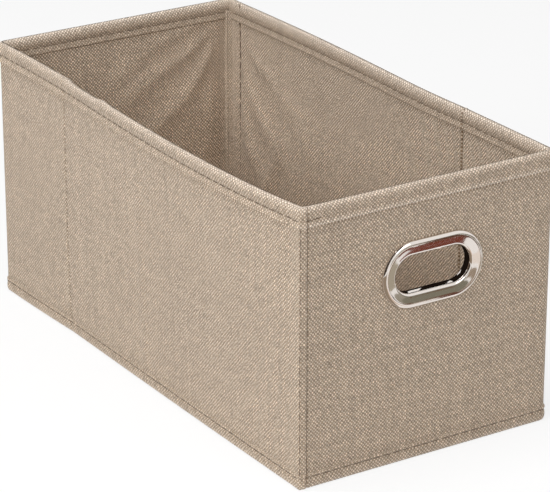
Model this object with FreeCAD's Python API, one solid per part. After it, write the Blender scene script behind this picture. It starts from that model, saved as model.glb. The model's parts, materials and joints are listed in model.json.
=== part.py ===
"""Folding fabric storage basket with one metal handle eyelet.

Every wall is a greyboard panel between an outer cloth and a lining. A binding tape is folded
over the rim and a hem tape closes the lower edge. The loose base insert keeps the basket square.
With the insert lifted out, the two creases in the long walls are pushed inwards and the four
corners close, so the basket folds flat to the length of its own base.

Millimetres, +Z up. The origin is at the bottom centre. The front wall, with the handle, faces -Y.
The two halves of the basket are alike: each left or back piece, turned half a turn about Z, is
its right or front partner.
"""

import FreeCAD
import Part

import math
import os

# Overall size, measured over the tapes
width = 155.0
length = 310.0
height = 150.0

# Wall layers, from the outside in
tape_thickness = 0.5
cloth_thickness = 0.5
board_thickness = 2.0

# Bands and strips
rim_band = 10.2
hem_band = 8.0
corner_radius = 3.0
narrow_corner_gap = 0.5
crease_offset = 79.0
crease_gap = 3.0

# Clearances of the flat fold
crease_clearance = 0.15
corner_clearance = 0.45
passing_clearance = 0.3

# Bottom and base insert
bottom_lift = 0.5
insert_board_thickness = 2.5
insert_cover_thickness = 0.4
insert_side_clearance = 1.0
insert_turn_under = 15.0
insert_corner_radius = 9.0
insert_travel = 200.0

# Handle eyelet
handle_shift = 1.5
handle_height = 101.8
handle_straight = 25.2
handle_hole_radius = 10.1
handle_flange_radius = 18.0
handle_sheet = 0.6
handle_crest = 2.2
handle_lip = 0.9
handle_clearance = 0.2
clamp_ring_radius = 17.5
barrel_curl = 1.6

# Sizes that follow
wall_thickness = board_thickness + 2 * cloth_thickness
rim_thickness = wall_thickness + 2 * tape_thickness
wall_outer = tape_thickness
wall_inner = tape_thickness + wall_thickness
wall_top = height - tape_thickness
rim_low = height - rim_band
insert_low = bottom_lift + cloth_thickness
insert_high = insert_low + insert_board_thickness + 2 * insert_cover_thickness

# The corners that fold over two more layers have a wide strip, as wide as those layers
layers_between = (
    2 * rim_thickness + 2 * crease_clearance + 2 * corner_clearance + passing_clearance
)
wide_pivot_inset = layers_between / 2
strip_leg = layers_between / math.sqrt(2)
wide_corner = wall_inner + strip_leg
narrow_corner = rim_thickness + narrow_corner_gap

half_turn_partner = {
    "left_front": "right_rear",
    "left_rear": "right_front",
    "back": "front",
    "back_left": "front_right",
    "back_right": "front_left",
    "left": "right",
}


def box(x_span, y_span, z_span):
    """A box between two values on each axis."""
    low = FreeCAD.Vector(x_span[0], y_span[0], z_span[0])
    size = [span[1] - span[0] for span in (x_span, y_span, z_span)]
    return Part.makeBox(*size, low)


def slab(face, along, depth, z_span):
    """A box in a wall: its stretch along the wall, its depth from the outer plane, its height."""
    if face == "left":
        return box((depth[0] - width / 2, depth[1] - width / 2), along, z_span)
    return box(along, (length / 2 - depth[1], length / 2 - depth[0]), z_span)


def prism(points, z_span):
    """A closed outline of straight edges, raised between two heights."""
    outline = [FreeCAD.Vector(x, y, z_span[0]) for x, y in points]
    face = Part.Face(Part.makePolygon(outline + outline[:1]))
    return face.extrude(FreeCAD.Vector(0, 0, z_span[1] - z_span[0]))


def upright_edges(shape, x, y):
    """The vertical edges of a shape that stand at one place."""
    found = []
    for edge in shape.Edges:
        ends = [vertex.Point for vertex in edge.Vertexes]
        if all(math.hypot(p.x - x, p.y - y) < 1e-6 for p in ends) and len(ends) == 2:
            found.append(edge)
    return found


def half_turned(shape):
    """The shape turned half a turn about Z."""
    turned = shape.copy()
    turned.rotate(FreeCAD.Vector(0, 0, 0), FreeCAD.Vector(0, 0, 1), 180)
    return turned


def wall_layers(face, along):
    """The outer cloth, board and lining of one wall."""
    board_outer = wall_outer + cloth_thickness
    board_inner = board_outer + board_thickness
    layers = {
        "outer_cloth": (wall_outer, board_outer),
        "board": (board_outer, board_inner),
        "lining": (board_inner, wall_inner),
    }
    return {
        name: slab(face, along, depth, (hem_band, wall_top))
        for name, depth in layers.items()
    }


def rim_tape(face, along, corner=None):
    """The tape folded over a wall's top, closed to a solid block where it turns a corner."""
    tape = slab(face, along, (0, rim_thickness), (rim_low, height))
    tape = tape.cut(slab(face, along, (wall_outer, wall_inner), (rim_low, wall_top)))
    if corner is None:
        return tape
    block = slab(face, corner, (0, rim_thickness), (rim_low, height))
    return rounded_corner(tape.fuse(block).removeSplitter())


def hem_tape(face, along, corner=None):
    """The tape round a wall's lower edge, with the turned-in cloth edges that fill it."""
    tape = slab(face, along, (0, rim_thickness), (0, hem_band))
    if corner is None:
        return tape
    block = slab(face, corner, (0, rim_thickness), (0, hem_band))
    return rounded_corner(tape.fuse(block).removeSplitter())


def rounded_corner(tape):
    """Rounds the outer upright edge where a side tape turns the corner of the basket."""
    edges = []
    for y in (-length / 2, length / 2):
        edges += upright_edges(tape, -width / 2, y)
    return tape.makeFillet(corner_radius, edges)


def wall_pieces():
    """The left and back walls, whose partners are the right and front walls."""
    crease_low = crease_offset - crease_gap / 2
    crease_high = crease_offset + crease_gap / 2
    inner_back = length / 2 - rim_thickness
    spans = {
        "left_front": ("left", (wide_corner - length / 2, crease_low)),
        "left_rear": ("left", (crease_high, length / 2 - narrow_corner)),
        "back": ("back", (narrow_corner - width / 2, width / 2 - wide_corner)),
    }
    tape_spans = {
        "left_front": ((-inner_back, crease_offset), (-length / 2, -inner_back)),
        "left_rear": ((crease_offset, inner_back), (inner_back, length / 2)),
        "back": ((rim_thickness - width / 2, width / 2 - rim_thickness), None),
    }
    pieces = {}
    for wall, (face, along) in spans.items():
        for layer, shape in wall_layers(face, along).items():
            pieces[wall, layer] = shape
        tape_along, corner = tape_spans[wall]
        pieces[wall, "rim_tape"] = rim_tape(face, tape_along, corner)
        pieces[wall, "hem_tape"] = hem_tape(face, tape_along, corner)
    return pieces


def narrow_corner_strip():
    """The cloth round the back left corner, which folds on its inner edge."""
    x_out = wall_outer - width / 2
    y_out = length / 2 - wall_outer
    x_in = wall_inner - width / 2
    y_in = length / 2 - wall_inner
    x_end = narrow_corner - width / 2
    y_end = length / 2 - narrow_corner
    strip = prism(
        [(x_out, y_out), (x_end, y_out), (x_end, y_in), (x_in, y_in), (x_in, y_end), (x_out, y_end)],
        (hem_band, rim_low),
    )
    return strip.makeFillet(corner_radius, upright_edges(strip, x_out, y_out))


def wide_corner_strip():
    """The cloth and flat inner strip of the back right corner, which folds over two layers."""
    x_out = width / 2 - wall_outer
    y_out = length / 2 - wall_outer
    x_in = width / 2 - wall_inner
    y_in = length / 2 - wall_inner
    x_end = width / 2 - wide_corner
    y_end = length / 2 - wide_corner
    strip = prism(
        [(x_out, y_out), (x_end, y_out), (x_end, y_in), (x_in, y_end), (x_out, y_end)],
        (hem_band, rim_low),
    )
    return strip.makeFillet(corner_radius, upright_edges(strip, x_out, y_out))


def crease_strip():
    """The two cloths sewn together between the boards of the left wall."""
    along = (crease_offset - crease_gap / 2, crease_offset + crease_gap / 2)
    return slab("left", along, (wall_outer, wall_outer + 2 * cloth_thickness), (hem_band, rim_low))


def oval(radius, y_span):
    """A solid oval through the front wall, round the middle of the handle."""
    spread = handle_straight / 2
    depth = y_span[1] - y_span[0]
    low = FreeCAD.Vector(handle_shift - spread, y_span[0], handle_height - radius)
    shape = Part.makeBox(handle_straight, depth, 2 * radius, low)
    for side in (-1, 1):
        centre = FreeCAD.Vector(handle_shift + side * spread, y_span[0], handle_height)
        shape = shape.fuse(Part.makeCylinder(radius, depth, centre, FreeCAD.Vector(0, 1, 0)))
    return shape.removeSplitter()


def oval_ring(profile):
    """A closed section, drawn from the oval's middle line outwards, carried round the oval."""
    spread = handle_straight / 2
    face_y = wall_outer - length / 2
    across = FreeCAD.Vector(0, 1, 0)
    ring = None
    for side in (-1, 1):
        middle = FreeCAD.Vector(handle_shift + side * spread, 0, handle_height)
        section = profile.copy()
        section.translate(FreeCAD.Vector(middle.x, face_y, middle.z))
        turn = section.revolve(middle, across, 180 * side)
        run = section.copy()
        if side > 0:
            run.rotate(middle, across, 180)
        run = run.extrude(FreeCAD.Vector(-side * handle_straight, 0, 0))
        for piece in (turn, run):
            ring = piece if ring is None else ring.fuse(piece)
    return ring.removeSplitter()


def section_face(edges):
    """A face in the upright plane through the handle's middle line."""
    return Part.Face(Part.Wire(edges))


def section_point(radius, proud):
    """A point of a handle section: its distance from the middle line and from the cloth."""
    return FreeCAD.Vector(0, -proud, radius)


def polyline(points):
    """Straight edges through a list of points."""
    return [Part.makeLine(a, b) for a, b in zip(points, points[1:])]


def eyelet_section():
    """The pressed sheet: a domed flange, a rounded lip, the barrel and its curl at the back."""
    hole = handle_hole_radius
    barrel = hole + handle_sheet
    rim = handle_flange_radius
    crest = rim - (rim - hole) / 3
    back = -wall_thickness - handle_sheet
    inner_rim = rim - handle_sheet
    dome = Part.Arc(
        section_point(rim, 0),
        section_point((rim + crest) / 2 + handle_sheet / 2, handle_crest * 0.72),
        section_point(crest, handle_crest),
    ).toShape()
    lip_start = section_point(barrel + handle_sheet, handle_crest * 0.7)
    lip = Part.Arc(
        lip_start,
        section_point(hole + handle_sheet * 0.45, handle_crest * 0.55),
        section_point(hole, handle_lip - handle_sheet),
    ).toShape()
    outside = [dome] + polyline([section_point(crest, handle_crest), lip_start]) + [lip]
    around = polyline(
        [
            section_point(hole, handle_lip - handle_sheet),
            section_point(hole, back - handle_sheet),
            section_point(barrel + barrel_curl, back - handle_sheet),
            section_point(barrel + barrel_curl, back),
            section_point(barrel, back),
            section_point(barrel, handle_lip - handle_sheet),
            section_point(barrel + handle_sheet, handle_lip),
            section_point(crest, handle_crest - handle_sheet),
            section_point(inner_rim - handle_sheet / 2, handle_crest * 0.6),
            section_point(inner_rim, 0),
            section_point(rim, 0),
        ]
    )
    return section_face(outside + around)


def clamp_ring_section():
    """The flat ring that the barrel is curled over, against the lining."""
    inner = handle_hole_radius + handle_sheet + handle_clearance / 2
    corners = [
        section_point(inner, -wall_thickness),
        section_point(clamp_ring_radius, -wall_thickness),
        section_point(clamp_ring_radius, -wall_thickness - handle_sheet),
        section_point(inner, -wall_thickness - handle_sheet),
    ]
    return section_face(polyline(corners + corners[:1]))


def bottom_cloth():
    """The cloth between the hems, just above the surface that the basket stands on."""
    x_in = width / 2 - rim_thickness
    y_in = length / 2 - rim_thickness
    return box((-x_in, x_in), (-y_in, y_in), (bottom_lift, bottom_lift + cloth_thickness))


def rounded_plate(inset, z_span, radius):
    """A plate with rounded corners, inset from the basket's inner faces."""
    x_out = width / 2 - rim_thickness - inset
    y_out = length / 2 - rim_thickness - inset
    plate = box((-x_out, x_out), (-y_out, y_out), z_span)
    edges = []
    for x in (-x_out, x_out):
        for y in (-y_out, y_out):
            edges += upright_edges(plate, x, y)
    return plate.makeFillet(radius, edges)


def base_insert():
    """The insert's board, and its cover turned under the board's edges."""
    outer_inset = insert_side_clearance
    board_inset = outer_inset + insert_cover_thickness
    window_inset = board_inset + insert_turn_under
    board_z = (insert_low + insert_cover_thickness, insert_high - insert_cover_thickness)
    board_radius = insert_corner_radius - insert_cover_thickness
    board = rounded_plate(board_inset, board_z, board_radius)
    cover = rounded_plate(outer_inset, (insert_low, insert_high), insert_corner_radius)
    window = rounded_plate(window_inset, (insert_low, board_z[0]), insert_corner_radius)
    return {"base_board": board, "base_cover": cover.cut(board).cut(window)}


def build():
    """All sub-parts by name."""
    parts = {}
    for (wall, layer), shape in wall_pieces().items():
        parts[f"{wall}_{layer}"] = shape
        parts[f"{half_turn_partner[wall]}_{layer}"] = half_turned(shape)
    strips = {"back_left": narrow_corner_strip(), "back_right": wide_corner_strip()}
    for place, shape in strips.items():
        parts[f"{place}_corner_strip"] = shape
        parts[f"{half_turn_partner[place]}_corner_strip"] = half_turned(shape)
    crease = crease_strip()
    parts["left_crease_strip"] = crease
    parts["right_crease_strip"] = half_turned(crease)
    cut_radius = handle_hole_radius + handle_sheet + handle_clearance
    hole = oval(cut_radius, (-length / 2, rim_thickness - length / 2))
    for layer in ("outer_cloth", "board", "lining"):
        parts[f"front_{layer}"] = parts[f"front_{layer}"].cut(hole)
    parts["handle_eyelet"] = oval_ring(eyelet_section())
    parts["handle_clamp_ring"] = oval_ring(clamp_ring_section())
    parts["bottom_cloth"] = bottom_cloth()
    parts.update(base_insert())
    return parts


def fold_axes():
    """Where the upright fold axes stand at rest, in the order of the flat fold's tree."""
    x_out = width / 2
    y_out = length / 2
    narrow = rim_thickness + corner_clearance
    wide = rim_thickness + wide_pivot_inset
    return {
        "front_left": (wide - x_out, wide - y_out),
        "left_crease": (-x_out - crease_clearance, crease_offset),
        "back_left": (narrow - x_out, y_out - narrow),
        "back_right": (x_out - wide, y_out - wide),
        "right_crease": (x_out + crease_clearance, -crease_offset),
        "front_right (open)": (x_out - narrow, narrow - y_out),
    }


def main():
    """Writes every sub-part and prints what the record needs."""
    os.makedirs("parts", exist_ok=True)
    for name, shape in build().items():
        if len(shape.Solids) != 1 or not shape.isValid():
            raise ValueError(f"{name} isn't one sound solid")
        shape.exportStep(f"parts/{name}.step")
    for name, (x, y) in fold_axes().items():
        print(f"{name} fold axis at x {x:.3f}, y {y:.3f}")
    print(f"base insert from z {insert_low:.2f} to {insert_high:.2f}, travel {insert_travel:.0f}")


main()
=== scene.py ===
"""Folding fabric storage basket with one oval metal handle eyelet.

Cloth is drawn over the greyboard of each wall, taped at the rim and the hem, sewn at four corners
and at one crease in each long wall. Metres, +Z up, the handle's wall faces -Y.
"""

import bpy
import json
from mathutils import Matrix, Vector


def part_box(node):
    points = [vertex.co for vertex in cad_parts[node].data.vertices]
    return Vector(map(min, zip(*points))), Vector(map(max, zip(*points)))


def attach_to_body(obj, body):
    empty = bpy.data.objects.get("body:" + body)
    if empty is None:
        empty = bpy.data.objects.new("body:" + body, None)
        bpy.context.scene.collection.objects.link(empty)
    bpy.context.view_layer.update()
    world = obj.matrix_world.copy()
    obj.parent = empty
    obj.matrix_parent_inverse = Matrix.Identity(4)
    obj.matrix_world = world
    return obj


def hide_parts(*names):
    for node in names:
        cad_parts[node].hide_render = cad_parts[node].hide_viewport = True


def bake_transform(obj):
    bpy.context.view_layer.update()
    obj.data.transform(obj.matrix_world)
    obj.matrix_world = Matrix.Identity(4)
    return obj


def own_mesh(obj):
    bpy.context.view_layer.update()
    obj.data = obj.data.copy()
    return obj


bl_info = {
    "name": "Folding fabric basket",
    "version": (1, 0, 0),
    "blender": (4, 5, 0),
    "location": "View3D > Sidebar > Basket",
    "description": "Dresses a folding fabric storage basket and sets its stage",
    "category": "Object",
}

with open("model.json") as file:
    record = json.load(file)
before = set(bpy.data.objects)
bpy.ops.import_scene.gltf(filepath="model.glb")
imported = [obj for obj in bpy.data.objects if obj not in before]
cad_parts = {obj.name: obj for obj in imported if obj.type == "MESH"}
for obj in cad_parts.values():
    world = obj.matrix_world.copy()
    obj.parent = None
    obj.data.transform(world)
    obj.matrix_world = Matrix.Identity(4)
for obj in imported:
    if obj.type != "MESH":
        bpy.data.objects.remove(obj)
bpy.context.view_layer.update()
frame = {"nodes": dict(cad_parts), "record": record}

import json
import math

import bmesh
import bpy
from bpy.props import FloatProperty, IntProperty, PointerProperty, StringProperty
from mathutils import Vector, noise

MM = 0.001
WALLS = ("left_front", "left_rear", "back", "right_rear", "right_front", "front")

# The basket's outside and its layers, read from the frame
HALF_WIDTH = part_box("left_front_rim_tape")[0].x * -1
HALF_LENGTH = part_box("left_front_rim_tape")[0].y * -1
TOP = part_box("left_front_rim_tape")[1].z
RIM_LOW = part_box("back_rim_tape")[0].z
HEM_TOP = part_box("back_hem_tape")[1].z
WALL_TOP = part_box("back_board")[1].z
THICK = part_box("back_rim_tape")[1].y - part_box("back_rim_tape")[0].y
TAPE = TOP - WALL_TOP
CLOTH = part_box("back_outer_cloth")[1].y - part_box("back_board")[1].y
PERIMETER = 4 * (HALF_WIDTH + HALF_LENGTH)
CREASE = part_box("left_rear_rim_tape")[0].y
CREASE_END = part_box("left_front_board")[1].y
WIDE = HALF_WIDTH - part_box("back_board")[1].x
NARROW = HALF_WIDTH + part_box("back_board")[0].x


def joint_place(name):
    """Where a fold axis stands at rest."""
    joint = next(j for j in frame["record"]["behaviour"]["joints"] if j["name"] == name)
    return Vector(joint["pos_m"])


NARROW_PIVOT = HALF_WIDTH + joint_place("back_left_corner_fold").x


def length(name, description, millimetres):
    """A length that a maker would change."""
    return FloatProperty(name=name, description=description, default=millimetres * MM, unit="LENGTH")


def colour(name, description, value):
    """A colour that a maker would change."""
    return StringProperty(name=name, description=description, default=value)


def power(name, description, watts):
    """A lamp's power."""
    return FloatProperty(name=name, description=description, default=watts, min=0.0, unit="POWER")


class BasketSizes(bpy.types.PropertyGroup):
    """Sizes that a maker would change."""

    threads: IntProperty(
        name="Threads round the basket",
        description="Warp threads counted once round all four walls",
        default=944,
        min=100,
    )
    rim_bow: length(
        "Left rim's bow", "How far the left wall's rim stands out between its corner and its crease", 5.2
    )
    crease_pull: length("Hem's pull", "How far the left hem is drawn in at the crease", 1.7)
    right_bow: length("Right rim's bow", "How far the right wall's rim stands out in its rear half", 1.5)
    grid: length("Cloth grid", "Spacing of the cloth's mesh along a wall", 2.5)
    stitch_pitch: length("Stitch pitch", "From one stitch to the next", 6.0)
    stitch_length: length("Stitch length", "Seen length of one stitch", 4.9)
    stitch_thickness: length("Thread thickness", "Diameter of the sewing thread", 0.45)
    rim_tape: length("Rim tape", "How far the tape reaches down a long wall's outside", 11.1)
    front_rim_tape: length(
        "Front rim tape", "How far the tape reaches down the front wall's outside", 10.35
    )
    rim_row: FloatProperty(
        name="Rim's stitch row",
        description="Depth of the row below the rim, as a share of the tape's reach",
        default=0.65,
    )
    hem_row: length("Hem's stitch row", "Height of the row above the floor", 6.3)


class BasketColours(bpy.types.PropertyGroup):
    """Colours as sRGB hex values."""

    warp: colour("Warp", "Colour of the outer cloth's warp threads", "E1D0BC")
    weft: colour("Weft", "Colour of the outer cloth's weft threads", "A18B74")
    # The lining's colours are paler on average than the outer cloth's: painted light that brightens the
    # basket's shaded inside
    lining_warp: colour("Lining's warp", "Colour of the lining's warp threads", "F4E2CE")
    lining_weft: colour("Lining's weft", "Colour of the lining's weft threads", "9A856D")
    gap: colour("Gaps", "Colour down between the threads", "514337")
    sewing: colour("Sewing thread", "Colour of the stitches", "84705C")
    board: colour("Greyboard", "Colour of the boards", "9C9488")
    board_speck: colour("Greyboard's specks", "Colour of the boards' dark specks", "7E766B")
    chrome: colour("Chrome", "Colour of the eyelet's plating", "E4DCD5")
    floor: colour("Floor", "Colour of the studio floor", "F4F4F4")


def sizes():
    return bpy.context.scene.basket_sizes


def colours():
    return bpy.context.scene.basket_colours


# Plan of the basket


class Upright:
    """One upright line of the plan: its outer and inner points and its place along the cloth.

    Play is how freely the cloth may ripple there, from 0 at a fold line to 1.
    """

    def __init__(self, outer, inner, run, place=None, play=0.0):
        self.outer = Vector(outer)
        self.inner = Vector(inner)
        self.inward = (self.inner - self.outer).normalized()
        self.run = run
        self.place = place
        self.play = play

    def at(self, share, inset, z):
        """A point: share 0 is the outer face and 1 the inner, inset is how far inside that face."""
        flat = self.outer.lerp(self.inner, share) + self.inward * inset * (1 - 2 * share)
        if self.place:
            flat -= self.inward * bow(*self.place, z)
        return Vector((flat.x, flat.y, z))


def ease(t):
    """A smooth step from 0 to 1."""
    t = min(max(t, 0.0), 1.0)
    return t * t * (3 - 2 * t)


def hump(x, middle, width):
    """A smooth bump of height 1."""
    return math.exp(-(((x - middle) / width) ** 2))


# A bow grows with height by this power, and the left one's peak leans to the front by this one
BOW_RISE = 1.2
BOW_LEAN = 0.78
# The left hem is drawn in below this height, and the left rim dips a little behind its crease
PULL_HEIGHT = 70 * MM
REAR_DIP = 0.6 * MM
# The right rim dips before it bows out: the dip's share of the stretch, and of the bow
DIP_LENGTH = 0.3
DIP_DEPTH = 0.55


def bow(face, s, z):
    """How far a side wall stands out of its flat plane, zero at every fold line of the rim."""
    if face not in ("left", "right"):
        return 0.0
    lift = (max(z, 0.0) / TOP) ** BOW_RISE
    if face == "left":
        low_pull = max(0.0, 1 - z / PULL_HEIGHT) ** 2 * sizes().crease_pull
        if s < CREASE:
            share = max(0.0, s + HALF_LENGTH - WIDE) / (CREASE + HALF_LENGTH - WIDE)
            out = math.sin(math.pi * share**BOW_LEAN) * sizes().rim_bow * lift
            return out - low_pull * share**2
        share = min(1.0, (s - CREASE) / (HALF_LENGTH - NARROW - CREASE))
        return -math.sin(math.pi * share) * REAR_DIP * lift - low_pull * (1 - share) ** 2
    if s < -CREASE:
        return 0.0
    share = min(1.0, (s + CREASE) / (HALF_LENGTH - WIDE + CREASE))
    if share < DIP_LENGTH:
        out = -DIP_DEPTH * math.sin(math.pi * share / DIP_LENGTH)
    else:
        out = math.sin(math.pi * (share - DIP_LENGTH) / (1 - DIP_LENGTH))
    return out * sizes().right_bow * lift


def face_of(wall):
    return wall.split("_")[0]


def run_of(face, s):
    """Distance along the cloth, counted from the front left corner by way of the left wall."""
    length, width = 2 * HALF_LENGTH, 2 * HALF_WIDTH
    return {
        "left": HALF_LENGTH + s,
        "back": length + HALF_WIDTH + s,
        "right": length + width + HALF_LENGTH - s,
        "front": 2 * length + width + HALF_WIDTH - s,
    }[face]


def wall_upright(face, s, outer_pinch=0.0, inner_pinch=0.0, play=0.0):
    """The upright line of a wall at one place along it."""
    depths = (outer_pinch, THICK - inner_pinch)
    if face in ("left", "right"):
        side = -1 if face == "left" else 1
        points = [(side * (HALF_WIDTH - d), s) for d in depths]
    else:
        side = -1 if face == "front" else 1
        points = [(s, side * (HALF_LENGTH - d)) for d in depths]
    return Upright(*points, run_of(face, s), (face, s), play)


def spread(start, end, step):
    """Evenly spaced values from start to end, about a step apart."""
    count = max(1, math.ceil(abs(end - start) / step))
    return [start + (end - start) * i / count for i in range(count + 1)]


def wall_span(wall):
    """Where a wall's boards begin and end."""
    low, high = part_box(f"{wall}_board")
    return (low.y, high.y) if face_of(wall) in ("left", "right") else (low.x, high.x)


# Where the strip inside the back right corner is caught by a row on the right wall's lining
SEAM_LINE = 140 * MM


# The cloth is held still at a wall's ends and free to ripple this far from them
PLAY_FADE = 9 * MM
SEAM_GRID = 0.5 * MM


def wall_uprights(wall, step=None):
    """A wall's uprights, in the order of the cloth's run."""
    face = face_of(wall)
    start, end = wall_span(wall)
    values = spread(start, end, step or sizes().grid)
    if wall == "right_rear":
        values = sorted(values + [SEAM_LINE + i * SEAM_GRID for i in range(-3, 4)])
    if face in ("right", "front"):
        values.reverse()
    return [wall_upright(face, s, play=ease(min(s - start, end - s) / PLAY_FADE)) for s in values]


CORNERS = {
    "front_left": (-1, -1, 0.0),
    "back_left": (-1, 1, 2 * HALF_LENGTH),
    "back_right": (1, 1, 2 * (HALF_LENGTH + HALF_WIDTH)),
    "front_right": (1, -1, 4 * HALF_LENGTH + 2 * HALF_WIDTH),
}


def corner_point(corner, from_side, from_end):
    """A point near a corner, by its distances from the side's and the end's outer planes."""
    x_side, y_side, _ = CORNERS[corner]
    return Vector((x_side * (HALF_WIDTH - from_side), y_side * (HALF_LENGTH - from_end)))


def path_shares(points):
    """How far along its polyline each point lies, from 0 to 1."""
    lengths = [(b - a).length for a, b in zip(points, points[1:])]
    return [sum(lengths[:i]) / sum(lengths) for i in range(len(points))]


def polyline_at(points, share):
    """The point at a share of a polyline's length."""
    lengths = [(b - a).length for a, b in zip(points, points[1:])]
    left = share * sum(lengths)
    for a, b, long in zip(points, points[1:], lengths):
        if left <= long + 1e-9:
            return a.lerp(b, left / long)
        left -= long
    return points[-1].copy()


# Plan of a wide corner, in mm from the side wall's and the end wall's outer planes. Outside, the
# cloths are pinched into a low ridge that is sewn at its top, and sewn again at the corner's edge;
# inside, a flat strip with a folded edge spans the corner below the rim tape.
RIDGE_TOP = (4.8, 0.6)
CORNER_EDGE = (0.4, 0.32)
CORNER_SEAM = (
    (7.4, 0.0), (5.6, 0.03), (5.1, 0.3), RIDGE_TOP, (4.5, 0.3), (4.1, -0.1), (3.4, -0.32),
    (2.6, -0.22), (1.8, 0.0), (0.9, 0.12), CORNER_EDGE, (0.12, 0.62), (0.02, 1.0), (0.0, 1.7),
    (0.0, 3.0), (0.0, 5.0), (0.0, 7.6),
)
CORNER_STRIP = (
    (8.4, 4.0), (7.2, 4.05), (6.9, 4.5), (6.7, 5.2), (6.3, 5.5), (5.9, 5.3), (4.4, 6.3),
    (3.9, 6.7), (4.2, 7.2), (4.05, 8.6),
)


def wide_corner_uprights(corner, strip=True):
    """Round the outer corner, and inside across the strip or, for a tape, into the corner."""
    outer = [Vector((WIDE, 0))]
    outer += [Vector(point) * MM for point in CORNER_SEAM]
    outer.append(Vector((0, WIDE)))
    inner = [Vector((WIDE, THICK))]
    inner += [Vector(point) * MM for point in CORNER_STRIP] if strip else [Vector((THICK, THICK))]
    inner.append(Vector((THICK, WIDE)))
    shares = path_shares(outer)
    shares += [share for share in path_shares(inner) if strip and 0 < share < 1]
    run = CORNERS[corner][2]
    return [
        Upright(
            corner_point(corner, *polyline_at(outer, share)),
            corner_point(corner, *polyline_at(inner, share)),
            run + WIDE * (2 * share - 1),
        )
        for share in sorted(shares)
    ]


def narrow_corner_uprights(corner, radius, inner_radius, steps=18):
    """A quarter turn about the corner's fold axis."""
    x_side, y_side, run = CORNERS[corner]
    pivot = corner_point(corner, NARROW_PIVOT, NARROW_PIVOT)
    uprights = []
    for i in range(steps + 1):
        angle = math.pi / 2 * i / steps
        out = Vector((x_side * math.cos(angle), y_side * math.sin(angle)))
        place = run + NARROW * (2 * i / steps - 1)
        uprights.append(Upright(pivot + out * radius, pivot + out * inner_radius, place))
    return uprights


def crease_uprights(side, outer_groove, inner_groove, steps=14):
    """Across the sewn crease, drawn in by a groove on each face."""
    face = "left" if side < 0 else "right"
    middle = -side * CREASE
    half = CREASE - CREASE_END
    uprights = []
    for i in range(steps + 1):
        offset = half * (2 * i / steps - 1)
        shape = math.cos(math.pi / 2 * offset / half) ** 4
        s = middle - side * offset
        uprights.append(wall_upright(face, s, outer_groove * shape, inner_groove * shape))
    return uprights


# Meshes


def new_object(name, mesh):
    piece = bpy.data.objects.new(name, mesh)
    bpy.context.scene.collection.objects.link(piece)
    return piece


def sheet_solid(name, seen, hidden, runs, rises, smooth_under=50, wear=None):
    """A closed sheet from two like grids of points, with its weave's UV in metres.

    The painted light and shade values have a column for each column of seen, then of hidden. They tell
    the cloth's material where it has a painted highlight, above 0, or painted shade, below 0.
    """
    columns, rows = len(seen), len(seen[0])
    work = bmesh.new()
    uv = work.loops.layers.uv.new("cloth")
    painted_marks = work.verts.layers.float.new("wear")
    front = [[work.verts.new(p) for p in column] for column in seen]
    back = [[work.verts.new(p) for p in column] for column in hidden]
    if wear:
        for column, values in zip(front + back, wear):
            for vertex, value in zip(column, values):
                vertex[painted_marks] = value

    def quad(corners, places):
        face = work.faces.new(corners)
        for loop, (i, j) in zip(face.loops, places):
            loop[uv].uv = (runs[i], rises[j])

    for i in range(columns - 1):
        for j in range(rows - 1):
            places = [(i, j), (i + 1, j), (i + 1, j + 1), (i, j + 1)]
            quad([front[a][b] for a, b in places], places)
            places.reverse()
            quad([back[a][b] for a, b in places], places)
    for i in range(columns - 1):
        for j in (0, rows - 1):
            places = [(i, j), (i + 1, j), (i + 1, j), (i, j)]
            corners = [front[i][j], front[i + 1][j], back[i + 1][j], back[i][j]]
            quad(corners, places)
    for j in range(rows - 1):
        for i in (0, columns - 1):
            places = [(i, j), (i, j + 1), (i, j + 1), (i, j)]
            corners = [front[i][j], front[i][j + 1], back[i][j + 1], back[i][j]]
            quad(corners, places)
    bmesh.ops.recalc_face_normals(work, faces=work.faces)
    return from_bmesh(name, work, smooth_under)


def from_bmesh(name, work, smooth_under=50):
    mesh = bpy.data.meshes.new(name)
    work.to_mesh(mesh)
    work.free()
    mesh.shade_smooth()
    mesh.set_sharp_from_angle(angle=math.radians(smooth_under))
    return new_object(name, mesh)


# Painted shade inside: its depth and spread beside the back right strip, where it starts at a height
# and deepens upwards, and in the right wall's sewn crease
STRIP_SHADE, STRIP_SHADE_SPREAD, STRIP_SHADE_START = 0.2, 0.8 * MM, 60 * MM
CREASE_SHADE, CREASE_SHADE_SPREAD = 1.1, 0.7 * MM


def painted_shade(line, z):
    """How dark the painted shade is inside, in the right wall's sewn crease and beside the back right
    strip.
    """
    if not line.place or line.place[0] != "right":
        return 0.0
    strip = STRIP_SHADE * hump(line.place[1], SEAM_LINE, STRIP_SHADE_SPREAD)
    strip *= ease((z - STRIP_SHADE_START) / STRIP_SHADE_START)
    return max(strip, CREASE_SHADE * hump(line.place[1], -CREASE, CREASE_SHADE_SPREAD))


# Mesh heights are this close together where the cloth dips under the rim tape's edge
EDGE_GRID = 0.35 * MM


def layer(name, uprights, share, inset, span, relief=None, rise_step=2.5 * MM):
    """One cloth of a wall: inset is its seen face's depth inside the tape's face."""
    edge = TOP - rim_reach(uprights[len(uprights) // 2])
    close = [edge + i * EDGE_GRID for i in range(-5, 2)] if relief else []
    heights = sorted(spread(*span, rise_step) + close)

    def face(depth):
        grid = []
        for line in uprights:
            outs = [relief(line, z) if relief else 0.0 for z in heights]
            grid.append([line.at(share, depth - out, z) for out, z in zip(outs, heights)])
        return grid

    # The lining gets painted shade in the right wall's crease and beside the back right strip
    wear = [[-painted_shade(line, z) * share for z in heights] for line in uprights]
    runs = [line.run for line in uprights]
    return sheet_solid(name, face(inset), face(inset + CLOTH), runs, heights, wear=wear * 2)


def ridge(x, high, middle, width):
    """A smooth ridge of a given height."""
    return high * hump(x, middle, width)


def uneven(line, z, along, up, seed, broad, fine, ratio):
    """The unevenness of a taut cloth in mm, from a broad and a fine noise."""
    point = Vector((line.run * along, z * up, seed))
    return broad * noise.noise(point) + fine * noise.noise(point * ratio)


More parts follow.
